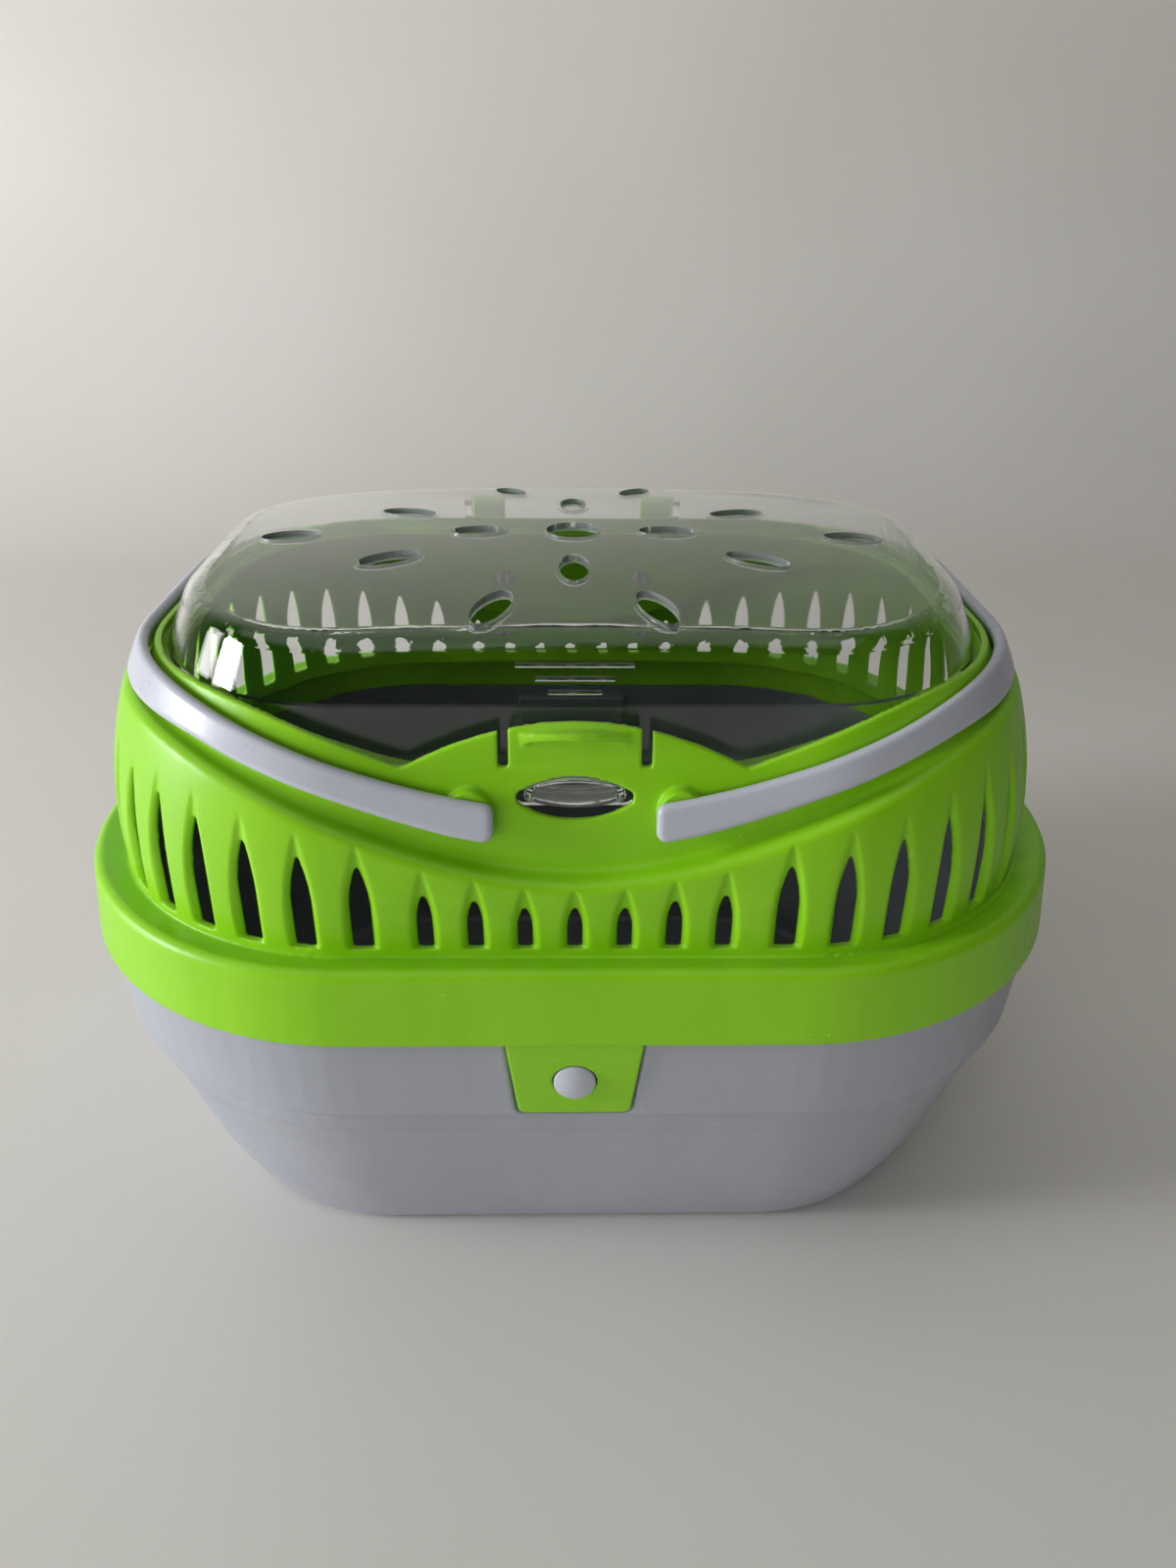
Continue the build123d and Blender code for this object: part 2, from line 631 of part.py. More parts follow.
def crown(top):
    """Thick slab with the doubly bulged top of the lid."""
    rx, ry = 1825.0, 540.0
    with BuildPart() as slab:
        with BuildSketch(Plane.YZ):
            with BuildLine():
                sag = ry - math.sqrt(ry * ry - 110.0 ** 2)
                ThreePointArc((-110, top - sag), (0, top), (110, top - sag))
                Polyline((110, top - sag), (110, 140), (-110, 140), (-110, top - sag))
            make_face()
        revolve(axis=Axis((0, 0, top - rx), (0, 1, 0)), revolution_arc=9)
    turn = Rot(0, -4.5, 0)
    there = Location((0, 0, top - rx))
    return slab.part.moved(there * turn * there.inverse())


with BuildPart() as lid_out:
    add(all_round(lid_flank(0.0, 150), cy=LID_CY, oy=LID_OY, core=(150, 208.2)))
    add(crown(206.0), mode=Mode.INTERSECT)
with BuildPart() as lid_in:
    add(all_round(lid_flank(LID_T, 148), cy=LID_CY, oy=LID_OY, core=(148, 208.2)))
    add(crown(206.0 - LID_T), mode=Mode.INTERSECT)

def lid_low_cut():
    """Everything below the lower edge of the lid, but for the lobe at the latch."""
    with BuildPart() as low:
        add(elevation(LID_LOW, -130, 0, 120))
        with BuildSketch(Plane.XY.offset(120)):
            with Locations((0, 65)):
                Rectangle(340, 130)
        extrude(amount=RIM_Z - 4.0 - 120)
        with BuildSketch(Plane.XZ.offset(70)):
            with Locations((0, 177)):
                RectangleRounded(2 * 15.9, 40, 3.0)
        extrude(amount=30, mode=Mode.SUBTRACT)
    return low.part


def eye(half_x, z_mid, z_top, z_low):
    """Outline of the eye shaped window and lug."""
    ThreePointArc((-half_x, z_mid), (0, z_top), (half_x, z_mid))
    ThreePointArc((half_x, z_mid), (0, z_low), (-half_x, z_mid))


def ear(x0, x1):
    """Clear ear that reaches back to the hinge line."""
    with BuildPart() as e:
        with BuildSketch(Plane.YZ.offset(x0)):
            with BuildLine():
                Polyline((77.2, 187.1), (HINGE_Y, HINGE_Z - 3.3))
                ThreePointArc((HINGE_Y, HINGE_Z - 3.3), (HINGE_Y + 3.3, HINGE_Z),
                              (HINGE_Y, HINGE_Z + 3.3))
                Polyline((HINGE_Y, HINGE_Z + 3.3), (72.8, 196.5), (77.2, 187.1))
            make_face()
        extrude(amount=x1 - x0)
    return e.part


def flank_y(z):
    u = (z - 195.85) / 12.35
    return -(-LID_OY + LID_CY + LID_RHO - FLANK * (z - 183.5) + BULGE * max(0.0, 1 - u * u))


HOLES = [(0, -1, 8.25, 8.25, 0), (28.5, -1, 8.5, 4.75, 0), (-28.5, -1, 8.5, 4.75, 0),
         (0, -34.3, 4.35, 10.0, 0), (0, 32.3, 4.35, 10.0, 0),
         (86, -1, 9.0, 5.0, 0), (-86, -1, 9.0, 5.0, 0)]
for sx in (1, -1):
    for sy in (1, -1):
        HOLES.append((sx * 21.7, -1 + sy * 59.3, 10.2, 4.5,
                      math.degrees(math.atan2(sy * 59.3, sx * 21.7))))
        HOLES.append((sx * 53.0, -1 + sy * 24.5, 9.5, 4.75,
                      math.degrees(math.atan2(sy * 24.5, sx * 53.0))))

with BuildPart() as lid_core:
    add(lid_in.part)
    fillet(lid_core.faces().sort_by(Axis.Z)[-1].edges(), radius=6.2)

# outer body of the lid with its rounded crown edge
with BuildPart() as lid_body:
    add(lid_out.part)
    fillet(lid_body.faces().sort_by(Axis.Z)[-1].edges(), radius=8.0)

# collars that thicken the edge of every hole, trimmed to the outer body
with BuildPart() as collars:
    with BuildSketch(Plane.XY.offset(197)):
        for hx, hy, ra, rb, ang in HOLES:
            with Locations(Location((hx, hy, 0), (0, 0, ang))):
                Ellipse(ra + 1.0, rb + 1.0)
    extrude(amount=12)
    add(lid_body.part, mode=Mode.INTERSECT)
    add(crown(203.4), mode=Mode.SUBTRACT)

with BuildPart() as lid:
    add(lid_body.part)
    add(lid_core.part, mode=Mode.SUBTRACT)
    add(lid_low_cut(), mode=Mode.SUBTRACT)
    add(collars.part)
    # hollow lug that snaps into the window of the front plate
    with BuildSketch(Plane.XZ.offset(flank_y(183.5) * -1 - 1.0)):
        with BuildLine():
            eye(15.9, 163.3, 167.8, 159.8)
        make_face()
        fillet(vertices(), radius=2.0)
    extrude(amount=91.3 - (-flank_y(183.5) - 1.0))
    with BuildSketch(Plane.XZ.offset(76)):
        with BuildLine():
            eye(14.3, 163.3, 166.5, 160.9)
        make_face()
        fillet(vertices(), radius=1.6)
    extrude(amount=90.0 - 76, mode=Mode.SUBTRACT)
    # ears and stubs of the hinge
    add(ear(37.3, 39.9))
    add(ear(-39.9, -37.3))
    with BuildSketch(Plane.YZ.offset(-38)):
        with Locations((HINGE_Y, HINGE_Z)):
            Circle(1.8)
    extrude(amount=7.9)
    with BuildSketch(Plane.YZ.offset(30.1)):
        with Locations((HINGE_Y, HINGE_Z)):
            Circle(1.8)
    extrude(amount=7.9)
    # grip ribs on the front flank
    for rz, rl in ((193.2, 30.0), (190.1, 20.0), (187.0, 13.6)):
        with BuildSketch(Plane.YZ.offset(-rl / 2)):
            with Locations((flank_y(rz) + 0.1, rz)):
                Circle(0.65)
        extrude(amount=rl)
    # air holes
    with BuildSketch(Plane.XY.offset(190)):
        for hx, hy, ra, rb, ang in HOLES:
            with Locations(Location((hx, hy, 0), (0, 0, ang))):
                Ellipse(ra, rb)
    extrude(amount=30, mode=Mode.SUBTRACT)

# =====================================================================
# handles
# =====================================================================
BAR_TOP = [(-20.4, 163.3), (-26, 164.3), (-38, 166.7), (-50, 169.8), (-62, 173.4),
           (-70, 176.0), (-79, 178.8), (-86, 180.9), (-93, 182.9), (-101, 184.8),
           (-109, 186.2), (-116, 186.9), (-124, 187.2), (-140, 187.2)]
BAR_LOW = [(-20.4, 153.4), (-29, 154.9), (-38.5, 157.4), (-51, 161.2), (-62, 164.9),
           (-70, 167.5), (-79, 170.3), (-86, 172.4), (-93, 174.3), (-101, 175.8),
           (-109, 176.5), (-118, 176.8), (-140, 176.8)]
BAR_OUT, BAR_IN = 0.25, 0.25 + BAR_T


def bar_profile():
    ThreePointArc((wall_rho(148, BAR_OUT), 148), (wall_rho(170, BAR_OUT), 170),
                  (wall_rho(191, BAR_OUT), 191))
    Line((wall_rho(191, BAR_OUT), 191), (wall_rho(191, BAR_IN), 191))
    ThreePointArc((wall_rho(191, BAR_IN), 191), (wall_rho(170, BAR_IN), 170),
                  (wall_rho(148, BAR_IN), 148))
    Line((wall_rho(148, BAR_IN), 148), (wall_rho(148, BAR_OUT), 148))


with BuildPart() as bail:
    add(all_round(bar_profile))
    with BuildSketch(Plane.XZ.offset(-130)) as band:
        with BuildLine():
            Spline(*BAR_TOP, tangents=[(-1, 0.18), (-1, 0)])
            Line(BAR_TOP[-1], BAR_LOW[-1])
            Spline(*reversed(BAR_LOW), tangents=[(1, 0), (1, -0.17)])
            Line(BAR_LOW[0], BAR_TOP[0])
        make_face()
        fillet(band.vertices().sort_by(Axis.X)[-2:], radius=2.6)
    extrude(amount=260, mode=Mode.INTERSECT)
    fillet(bail.edges(), radius=1.7)

PLATE_IN_Y = CY + ring_rho(PIVOT_Z, PLATE_T)     # inner face of the plate at the pivot


def snap_pin():
    """Front pivot pin of the left handle: shank, then a slit snap head inside."""
    with BuildPart() as pin:
        with BuildSketch(Plane(origin=(-PIVOT_X, 0, PIVOT_Z), x_dir=(0, -1, 0), z_dir=(-1, 0, 0))):
            with BuildLine():
                Polyline((97.0, 0), (97.0, PIN_R), (PLATE_IN_Y - 0.95, PIN_R),
                         (PLATE_IN_Y - 0.95, 3.35), (PLATE_IN_Y - 1.75, 3.35),
                         (PLATE_IN_Y - 4.0, 2.2), (PLATE_IN_Y - 4.0, 0), (97.0, 0))
            make_face()
        revolve(axis=Axis((-PIVOT_X, 0, PIVOT_Z), (0, 1, 0)), revolution_arc=360)
        with BuildSketch(Plane.XZ.offset(PLATE_IN_Y - 4.5)):
            with Locations((-PIVOT_X, PIVOT_Z)):
                Rectangle(1.3, 8)
        extrude(amount=4.5, mode=Mode.SUBTRACT)
    return pin.part


with BuildPart() as handle_left:
    add(bail.part)
    # flat seats on the inside, where the ends bear on the spacers
    with BuildSketch(Plane.XZ.offset(-(PLATE_BOSS_Y + 0.3))):
        with Locations((-PIVOT_X, PIVOT_Z)):
            Circle(6.2)
    extrude(amount=2 * (PLATE_BOSS_Y + 0.3), mode=Mode.SUBTRACT)
    add(snap_pin())
    add(mirror(snap_pin(), about=Plane.XZ, mode=Mode.PRIVATE))

with BuildPart() as handle_right:
    add(mirror(handle_left.part, about=Plane.YZ, mode=Mode.PRIVATE))

for name, node in (("base_tray", base_tray), ("cage", cage), ("latch_tongue", latch_tongue),
                   ("front_tab", front_tab), ("rear_tab", rear_tab),
                   ("front_stud", front_stud), ("rear_stud", rear_stud), ("lid", lid),
                   ("handle_left", handle_left), ("handle_right", handle_right)):
    node.part.label = name
    export_step(node.part, "parts/" + name + ".step")
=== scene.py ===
import math

import bmesh
import bpy
from mathutils import Matrix, Vector


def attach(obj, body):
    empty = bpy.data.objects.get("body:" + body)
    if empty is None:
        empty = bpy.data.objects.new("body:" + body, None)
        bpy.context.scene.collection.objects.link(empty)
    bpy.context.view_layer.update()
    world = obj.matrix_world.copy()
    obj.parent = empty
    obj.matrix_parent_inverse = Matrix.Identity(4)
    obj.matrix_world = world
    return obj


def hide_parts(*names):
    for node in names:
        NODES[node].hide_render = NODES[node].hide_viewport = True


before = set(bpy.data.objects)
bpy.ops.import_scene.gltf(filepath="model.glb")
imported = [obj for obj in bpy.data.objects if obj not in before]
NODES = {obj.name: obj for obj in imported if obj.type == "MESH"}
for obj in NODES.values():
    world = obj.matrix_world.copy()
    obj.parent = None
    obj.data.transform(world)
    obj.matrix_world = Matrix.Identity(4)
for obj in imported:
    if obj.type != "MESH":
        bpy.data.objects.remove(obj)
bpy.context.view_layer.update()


scene = bpy.context.scene
scene.view_settings.view_transform = "Standard"
scene.view_settings.look = "None"
scene.view_settings.exposure = 0.0


# ---------------------------------------------------------------- camera
cam = bpy.data.cameras.new("view_camera")
cam.sensor_fit = "AUTO"
cam.sensor_width = 36.0
cam.lens = 36.0 * 1148.868 / 1600.0
cam.clip_start = 0.01
cam.clip_end = 60.0
camera = bpy.data.objects.new("view_camera", cam)
scene.collection.objects.link(camera)
forward = Vector((0.0184622, 0.8783184, -0.4777196))
right = Vector((0.9998295, -0.0164192, 0.0084522))
up = Vector((0.00042001, 0.4777942, 0.8784717))
camera.matrix_world = Matrix((
    (right.x, up.x, -forward.x, -0.001975),
    (right.y, up.y, -forward.y, -0.340251),
    (right.z, up.z, -forward.z, 0.301989),
    (0, 0, 0, 1)))
scene.camera = camera


# ---------------------------------------------------------------- node helpers
class Tree:
    """Short way to write a material's node tree."""

    def __init__(self, name):
        self.mat = bpy.data.materials.new(name)
        self.mat.use_nodes = True
        self.t = self.mat.node_tree
        self.t.nodes.clear()
        self.out = self.add("ShaderNodeOutputMaterial")
        self.bsdf = self.add("ShaderNodeBsdfPrincipled")
        self.link(self.bsdf.outputs[0], self.out.inputs["Surface"])
        self.co = self.add("ShaderNodeTexCoord").outputs["Object"]

    def add(self, kind, **values):
        n = self.t.nodes.new(kind)
        for k, v in values.items():
            if k in n.inputs:
                n.inputs[k].default_value = v
            else:
                setattr(n, k, v)
        return n

    def link(self, a, b):
        self.t.links.new(a, b)

    def noise(self, scale, detail=3.0, rough=0.55, stretch=None, distort=0.0):
        src = self.co
        if stretch:
            m = self.add("ShaderNodeMapping")
            m.inputs["Scale"].default_value = stretch
            self.link(self.co, m.inputs["Vector"])
            src = m.outputs[0]
        n = self.add("ShaderNodeTexNoise", Scale=scale, Detail=detail, Roughness=rough,
                     Distortion=distort)
        self.link(src, n.inputs["Vector"])
        return n.outputs["Fac"]

    def specks(self, scale, size, seed=(0, 0, 0), keep=1.0):
        """1 in small separate dots, 0 elsewhere."""
        m = self.add("ShaderNodeMapping")
        m.inputs["Location"].default_value = seed
        self.link(self.co, m.inputs["Vector"])
        v = self.add("ShaderNodeTexVoronoi", Scale=scale)
        self.link(m.outputs[0], v.inputs["Vector"])
        dot = self.ramp(v.outputs["Distance"], [(0.0, 1.0), (size, 1.0), (size * 1.5, 0.0)])
        pick = self.ramp(self.sep(v.outputs["Color"]), [(0.0, 0.0), (1 - keep, 0.0),
                                                        (min(1 - keep + 0.01, 1.0), 1.0)])
        return self.math("MULTIPLY", dot, pick)

    def sep(self, color):
        s = self.add("ShaderNodeSeparateColor")
        self.link(color, s.inputs[0])
        return s.outputs[0]

    def ramp(self, fac, stops):
        r = self.add("ShaderNodeValToRGB")
        e = r.color_ramp.elements
        while len(e) < len(stops):
            e.new(0.5)
        for el, (pos, val) in zip(e, stops):
            el.position = pos
            el.color = (val, val, val, 1) if not isinstance(val, tuple) else (*val, 1)
        self.link(fac, r.inputs[0])
        return r.outputs[0]

    def math(self, op, a, b, c=None):
        m = self.add("ShaderNodeMath", operation=op)
        for i, v in enumerate((a, b, c)):
            if v is None:
                continue
            if isinstance(v, (int, float)):
                m.inputs[i].default_value = v
            else:
                self.link(v, m.inputs[i])
        return m.outputs[0]

    def mix(self, fac, a, b, mode="MIX"):
        m = self.add("ShaderNodeMix", data_type="RGBA", blend_type=mode)
        for sock, v in ((m.inputs[0], fac), (m.inputs[6], a), (m.inputs[7], b)):
            if isinstance(v, tuple):
                sock.default_value = (*v, 1)
            elif isinstance(v, (int, float)):
                sock.default_value = v
            else:
                self.link(v, sock)
        return m.outputs[2]

    def range(self, v, lo, hi, a=0.0, b=1.0):
        m = self.add("ShaderNodeMapRange")
        m.clamp = True
        for i, x in enumerate((v, lo, hi, a, b)):
            if isinstance(x, (int, float)):
                m.inputs[i].default_value = x
            else:
                self.link(x, m.inputs[i])
        return m.outputs[0]

    def bump(self, height, strength, distance, normal=None):
        b = self.add("ShaderNodeBump", Strength=strength, Distance=distance)
        self.link(height, b.inputs["Height"])
        if normal is not None:
            self.link(normal, b.inputs["Normal"])
        return b.outputs[0]


def srgb(r, g, b):
    def f(c):
        c /= 255.0
        return c / 12.92 if c <= 0.04045 else ((c + 0.055) / 1.055) ** 2.4
    return (f(r), f(g), f(b))


STEP_Z = 0.0712    # height of the step round the tray


def plastic(name, base, deep, pale_tone_and_rim_highlight, rough, sss=None, dust=0.35, orange=0.05, inner_shade=None):
    """Moulded plastic: cloudy colour, slight orange peel, fine texture, dust specks, painted
    highlights on convex rims.
    """
    t = Tree(name)
    cloud = t.noise(9.0, 2.0, 0.5)
    flow = t.noise(38.0, 4.0, 0.6, stretch=(1.0, 1.0, 0.35))
    col = t.mix(t.range(cloud, 0.35, 0.65), deep, base)
    col = t.mix(t.range(flow, 0.45, 0.75, 0.0, 0.22), col, pale_tone_and_rim_highlight)
    # painted highlight: convex rims (high pointiness) are lightened towards the pale colour
    edge = t.add("ShaderNodeNewGeometry").outputs["Pointiness"]
    rim_highlight = t.range(edge, 0.53, 0.62, 0.0, 0.45)
    col = t.mix(rim_highlight, col, pale_tone_and_rim_highlight)
    specks = t.specks(210.0, 0.055, keep=dust * 0.25)
    col = t.mix(t.math("MULTIPLY", specks, 0.55), col, tuple(min(1.0, c * 1.25 + 0.22) for c in base))
    if inner_shade:
        # painted shade: a bowl's inner wall and floor are painted darker and greyer than its outside,
        # standing in for the shade inside it
        co = t.add("ShaderNodeSeparateXYZ")
        t.link(t.co, co.inputs[0])
        no = t.add("ShaderNodeSeparateXYZ")
        t.link(t.add("ShaderNodeTexCoord").outputs["Normal"], no.inputs[0])
        outward = t.math("ADD", t.math("MULTIPLY", co.outputs[0], no.outputs[0]),
                         t.math("MULTIPLY", co.outputs[1], no.outputs[1]))
        inner_wall_shade_mask = t.range(outward, -0.005, -0.02)
        inner_floor_shade_mask = t.math("MULTIPLY", t.range(no.outputs[2], 0.6, 0.8),
                        t.range(co.outputs[2], 0.03, 0.02))
        # painted shade under the step and, fainter, at the foot of the band below it
        for mid, half, crease_shade_share in ((STEP_Z - 0.0002, 0.0011, 0.30), (STEP_Z - 0.0086, 0.0013, 0.10)):
            off = t.math("ABSOLUTE", t.math("SUBTRACT", co.outputs[2], mid), None)
            col = t.mix(t.range(off, 0.0, half, crease_shade_share, 0.0), col, tuple(c * 0.45 for c in base))
        # uneven, streaky mottle within the painted inner shade
        inner_shade_mottle = t.range(t.noise(55.0, 5.0, 0.65, stretch=(0.35, 1.0, 1.0), distort=0.8), 0.35, 0.7)
        col = t.mix(t.math("MAXIMUM", inner_wall_shade_mask, inner_floor_shade_mask), col,
                    t.mix(inner_shade_mottle, inner_shade, tuple(c * 1.18 for c in inner_shade)))
    t.link(col, t.bsdf.inputs["Base Color"])
    scuff = t.noise(160.0, 5.0, 0.7)
    r = t.range(scuff, 0.3, 0.75, rough - 0.05, rough + 0.08)
    t.link(r, t.bsdf.inputs["Roughness"])
    fine = t.noise(2600.0, 2.0, 0.6)
    peel = t.noise(120.0, 2.0, 0.5)
    h = t.math("ADD", t.math("MULTIPLY", fine, 0.25), t.math("MULTIPLY", peel, 0.75))
    h = t.math("ADD", h, t.math("MULTIPLY", specks, 1.4))
    t.link(t.bump(h, orange, 0.0012), t.bsdf.inputs["Normal"])
    t.bsdf.inputs["IOR"].default_value = 1.49
    if sss:
        t.bsdf.inputs["Subsurface Weight"].default_value = sss[0]
        t.bsdf.inputs["Subsurface Radius"].default_value = sss[1]
        t.bsdf.inputs["Subsurface Scale"].default_value = sss[2]
    return t.mat


GREEN = plastic("lime_plastic", srgb(144, 211, 22), srgb(136, 203, 16), srgb(178, 232, 66), 0.38,
                sss=(0.12, (0.6, 1.0, 0.2), 0.004))
# the tray's inside gets a darker grey as painted shade
TRAY = plastic("tray_plastic", srgb(170, 173, 183), srgb(164, 167, 178), srgb(190, 194, 204), 0.42,
               sss=(0.15, (1.0, 1.0, 1.1), 0.005), inner_shade=srgb(108, 110, 118))
GREY = plastic("handle_plastic", srgb(194, 197, 208), srgb(187, 190, 202), srgb(208, 211, 221), 0.3,
               sss=(0.1, (1.0, 1.0, 1.1), 0.004))


def clear(name):
    """Clear moulding: faint smears, a slow wave, and a painted highlight of whitish, less clear edges
    round the air holes.
    """
    t = Tree(name)
    b = t.bsdf
    b.inputs["IOR"].default_value = 1.5
    co = t.add("ShaderNodeSeparateXYZ")
    t.link(t.co, co.inputs[0])
    no = t.add("ShaderNodeSeparateXYZ")
    t.link(t.add("ShaderNodeTexCoord").outputs["Normal"], no.inputs[0])
    # painted highlight: the walls of the air holes near the top are whitened, made less clear and
    # rougher
    side = t.range(t.math("ABSOLUTE", no.outputs[2], None), 0.30, 0.12)
    high = t.range(co.outputs[2], 0.1968, 0.1976)
    rim_highlight = t.math("MULTIPLY", side, high)
    lug = t.range(t.math("ABSOLUTE", no.outputs[1], None), 0.75, 0.45)
    lug = t.math("MULTIPLY", lug, t.range(co.outputs[1], -0.0893, -0.0897))
    lug = t.math("MULTIPLY", lug, t.range(co.outputs[2], 0.1700, 0.1690))
    smear = t.noise(26.0, 4.0, 0.6, distort=0.6)
    clean = t.range(smear, 0.45, 0.8, 0.012, 0.06)
    t.link(t.math("ADD", clean, t.math("MULTIPLY", t.math("MAXIMUM", rim_highlight, lug), 0.12)),
           b.inputs["Roughness"])
    t.link(t.range(t.math("MAXIMUM", t.math("MULTIPLY", rim_highlight, 0.5), lug), 0.0, 1.0, 1.0, 0.45),
           b.inputs["Transmission Weight"])
    skin = t.mix(smear, (0.955, 0.975, 0.965), (0.975, 0.99, 0.985))
    t.link(t.mix(lug, t.mix(rim_highlight, skin, (0.80, 0.88, 0.85)), (0.88, 0.93, 0.92)),
           b.inputs["Base Color"])
    wave = t.noise(14.0, 2.0, 0.5)
    fine = t.specks(160.0, 0.05, keep=0.06)
    h = t.math("ADD", wave, t.math("MULTIPLY", fine, 0.6))
    t.link(t.bump(h, 0.05, 0.003), b.inputs["Normal"])
    return t.mat


CLEAR = clear("clear_plastic_lid")


# ---------------------------------------------------------------- moulded pieces
def new_object(name, me, mat):
    o = bpy.data.objects.new(name, me)
    scene.collection.objects.link(o)
    me.materials.clear()
    me.materials.append(mat)
    return o


def applied(o):
    """The object's mesh with its modifiers applied."""
    graph = bpy.context.evaluated_depsgraph_get()
    me = bpy.data.meshes.new_from_object(o.evaluated_get(graph))
    o.modifiers.clear()
    old = o.data
    o.data = me
    bpy.data.meshes.remove(old)
    return me


def soften(name, nodes, voxel, rounds, ratio, mat):
    """Piece with the shape of these CAD nodes and softly rounded moulded edges."""
    bm = bmesh.new()
    for n in nodes:
        bm.from_mesh(NODES[n].data)
    me = bpy.data.meshes.new(name)
    bm.to_mesh(me)
    bm.free()
    o = new_object(name, me, mat)
    m = o.modifiers.new("cells", "REMESH")
    m.mode = "VOXEL"
    m.voxel_size = voxel
    m.use_smooth_shade = True
    m = o.modifiers.new("round", "SMOOTH")
    m.factor = 0.5
    m.iterations = rounds
    applied(o)
    fine = o.copy()
    fine.data = o.data.copy()
    scene.collection.objects.link(fine)
    m = o.modifiers.new("thin", "DECIMATE")
    m.ratio = ratio
    applied(o)
    return o, fine


def take_normals(o, fine):
    """Shades a thinned piece with the even normals of the fine one."""
    for p in o.data.polygons:
        p.use_smooth = True
    m = o.modifiers.new("normals", "DATA_TRANSFER")
    m.object = fine
    m.use_loop_data = True
    m.data_types_loops = {"CUSTOM_NORMAL"}
    m.loop_mapping = "POLYINTERP_NEAREST"
    applied(o)


def drop(o):
    me = o.data
    bpy.data.objects.remove(o)
    bpy.data.meshes.remove(me)


def block(lo, hi):
    bm = bmesh.new()
    bmesh.ops.create_cube(bm, size=1.0)
    for v in bm.verts:
        v.co = Vector([lo[i] + (v.co[i] + 0.5) * (hi[i] - lo[i]) for i in range(3)])
    me = bpy.data.meshes.new("block")
    bm.to_mesh(me)
    bm.free()
    o = bpy.data.objects.new("block", me)
    scene.collection.objects.link(o)
    return o


def cut(o, name, box, kind):
    c = o.copy()
    c.data = o.data.copy()
    c.name = name
    c.data.name = name
    scene.collection.objects.link(c)
    m = c.modifiers.new("cut", "BOOLEAN")
    m.operation = kind
    m.solver = "MANIFOLD"
    m.object = box
    me = applied(c)
    while len(me.materials) > 1:
        me.materials.pop()
    return c


whole, fine = soften("cage_whole", ("cage", "latch_tongue"), 0.0005, 2, 0.16, GREEN)
key = block((-0.0174, -0.106, 0.150), (0.0174, -0.080, 0.200))
cage_shell = cut(whole, "cage_shell", key, "DIFFERENCE")
tongue = cut(whole, "tongue_flap", key, "INTERSECT")
drop(key)
drop(whole)
for o in (cage_shell, tongue):
    take_normals(o, fine)
drop(fine)

PIECES = {}


def piece(name, node, voxel, rounds, ratio, mat):
    o, f = soften(name, (node,), voxel, rounds, ratio, mat)
    take_normals(o, f)
    drop(f)
    PIECES[name] = (o, node)
    return o


piece("tray_bowl", "base_tray", 0.0006, 2, 0.18, TRAY)
piece("tab_front", "front_tab", 0.0003, 4, 0.5, GREEN)
piece("tab_rear", "rear_tab", 0.0003, 4, 0.5, GREEN)
piece("bar_left", "handle_left", 0.00038, 8, 0.4, GREY)
piece("bar_right", "handle_right", 0.00038, 8, 0.4, GREY)
piece("stud_front", "front_stud", 0.0002, 3, 0.5, GREY)
piece("stud_rear", "rear_stud", 0.0002, 3, 0.5, GREY)

BODY = {"base_tray": "base", "front_stud": "base", "rear_stud": "base", "cage": "cage",
        "front_tab": "cage", "rear_tab": "cage", "lid": "lid", "handle_left": "handle_left",
        "handle_right": "handle_right", "latch_tongue": "tongue"}
PIECES["cage_shell"] = (cage_shell, "cage")
PIECES["tongue_flap"] = (tongue, "latch_tongue")
for name, (o, node) in PIECES.items():
    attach(o, BODY[node])
    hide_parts(node)

for s in NODES["lid"].material_slots:
    s.material = CLEAR

# ---------------------------------------------------------------- floor, light
t = Tree("pale_floor")
grain = t.noise(3.0, 3.0, 0.5)
t.link(t.mix(t.range(grain, 0.3, 0.7), srgb(216, 213, 207), srgb(223, 220, 215)),
       t.bsdf.inputs["Base Color"])
t.bsdf.inputs["Roughness"].default_value = 0.55
t.link(t.bump(t.noise(400.0, 2.0, 0.5), 0.03, 0.001), t.bsdf.inputs["Normal"])
floor_mat = t.mat

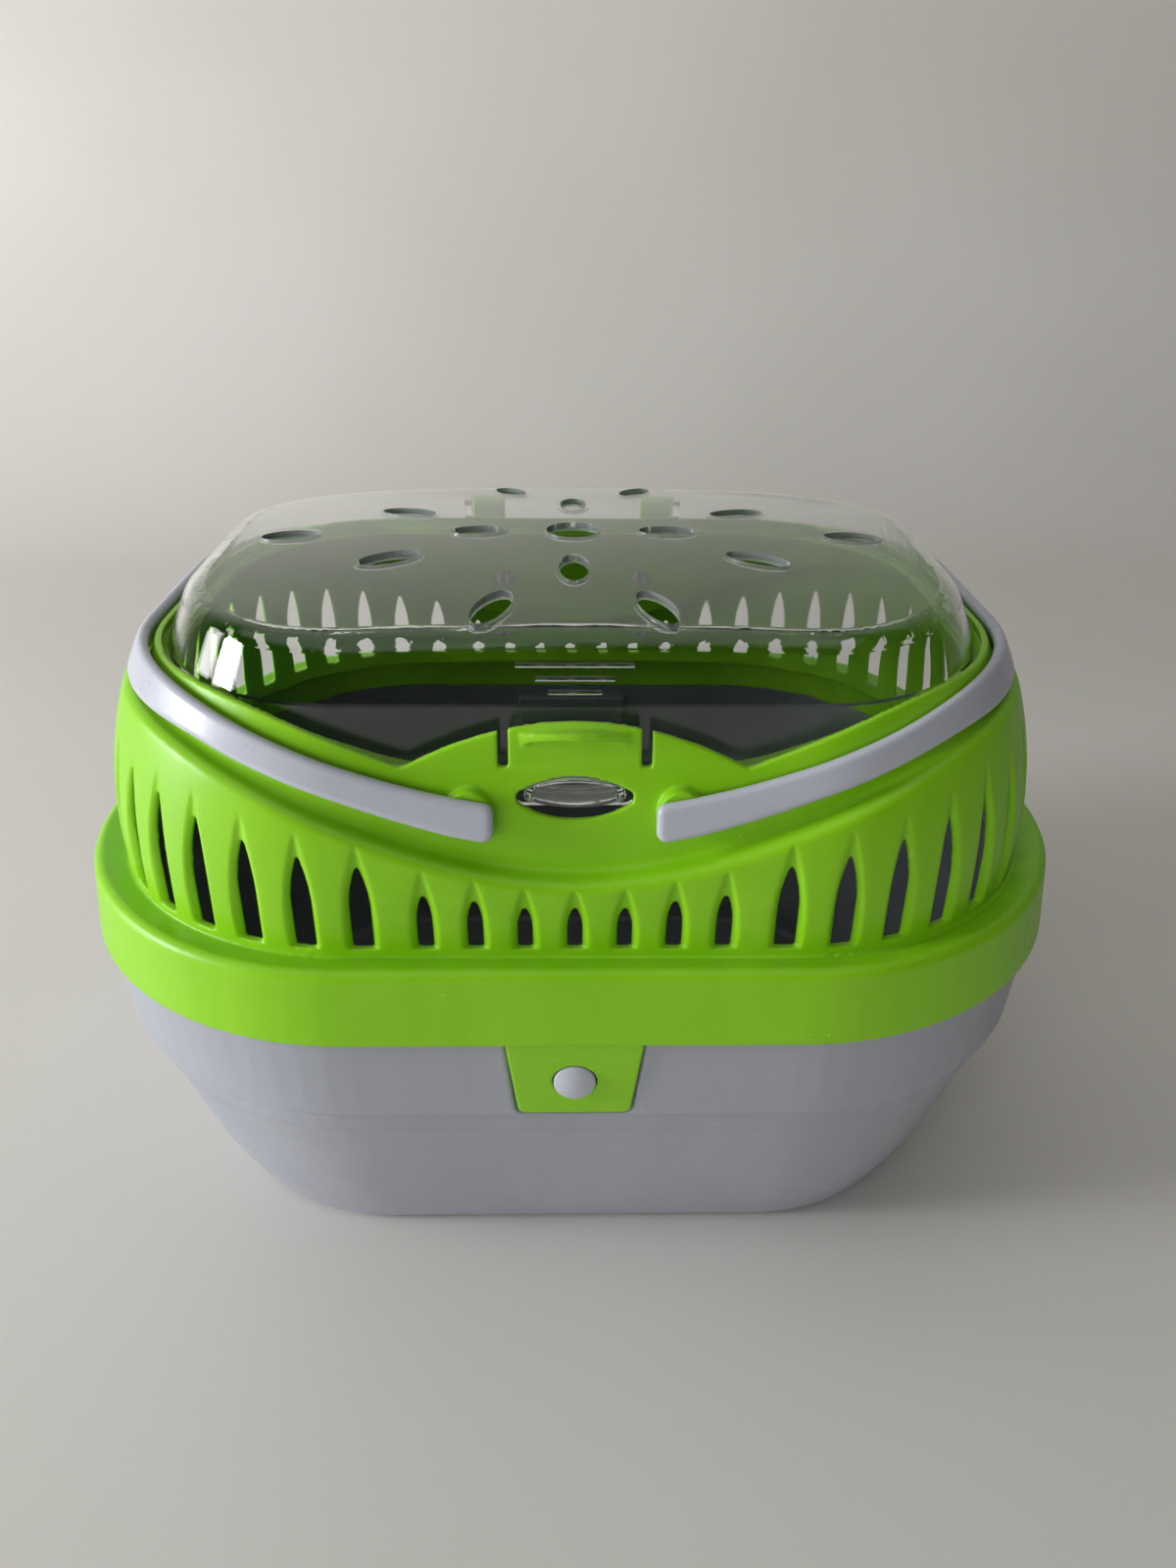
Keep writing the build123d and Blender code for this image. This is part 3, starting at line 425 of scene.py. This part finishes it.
bm = bmesh.new()
prof = [(-3.0, 0.0), (0.6, 0.0)]
r0, cy, cz = 0.35, 0.6, 0.35
for i in range(1, 13):
    a = math.radians(90 * i / 12)
    prof.append((cy + r0 * math.sin(a), cz - r0 * math.cos(a)))
prof.append((cy + r0, 3.0))
rows = [[bm.verts.new((x, y, z)) for x in (-4.0, 4.0)] for y, z in prof]
for a, b in zip(rows, rows[1:]):
    bm.faces.new((a[0], a[1], b[1], b[0]))
me = bpy.data.meshes.new("floor")
bm.to_mesh(me)
bm.free()
floor = bpy.data.objects.new("floor", me)
scene.collection.objects.link(floor)
floor.data.materials.append(floor_mat)
for p in me.polygons:
    p.use_smooth = True


def area(name, loc, target, size, power, color=(1, 1, 1)):
    l = bpy.data.lights.new(name, "AREA")
    l.shape = "RECTANGLE"
    l.size, l.size_y = size
    l.energy = power
    l.color = color
    o = bpy.data.objects.new(name, l)
    scene.collection.objects.link(o)
    o.location = loc
    o.rotation_euler = (Vector(target) - Vector(loc)).to_track_quat("-Z", "Y").to_euler()
    return o


LIGHTS = {
    "window_a": ((-1.55, -0.33, 0.50), (0, 0, 0.15), (0.36, 0.62), 19.5, (0.97, 0.985, 1.0)),
    "window_b": ((-1.60, 0.10, 0.50), (0, 0, 0.15), (0.30, 0.62), 3.5, (1.0, 0.985, 0.96)),
    "ceiling": ((-0.3, -0.2, 2.3), (0, 0, 0.1), (3.0, 3.0), 16.0, (1.0, 0.995, 0.98)),
    "front_fill": ((-0.9, -2.2, 0.7), (0, 0, 0.1), (1.8, 1.0), 17.5, (1.0, 0.99, 0.97)),
}
for name, (loc, target, size, power, color) in LIGHTS.items():
    lamp = area(name, loc, target, size, power, color)
    # the soft fill from the front has no mirror image in the clear lid
    lamp.visible_glossy = name != "front_fill"
    lamp.visible_transmission = name != "front_fill"

world = bpy.data.worlds.new("soft_world")
scene.world = world
world.use_nodes = True
wt = world.node_tree
wt.nodes["Background"].inputs[0].default_value = (0.82, 0.84, 0.86, 1)
wt.nodes["Background"].inputs[1].default_value = 0.015
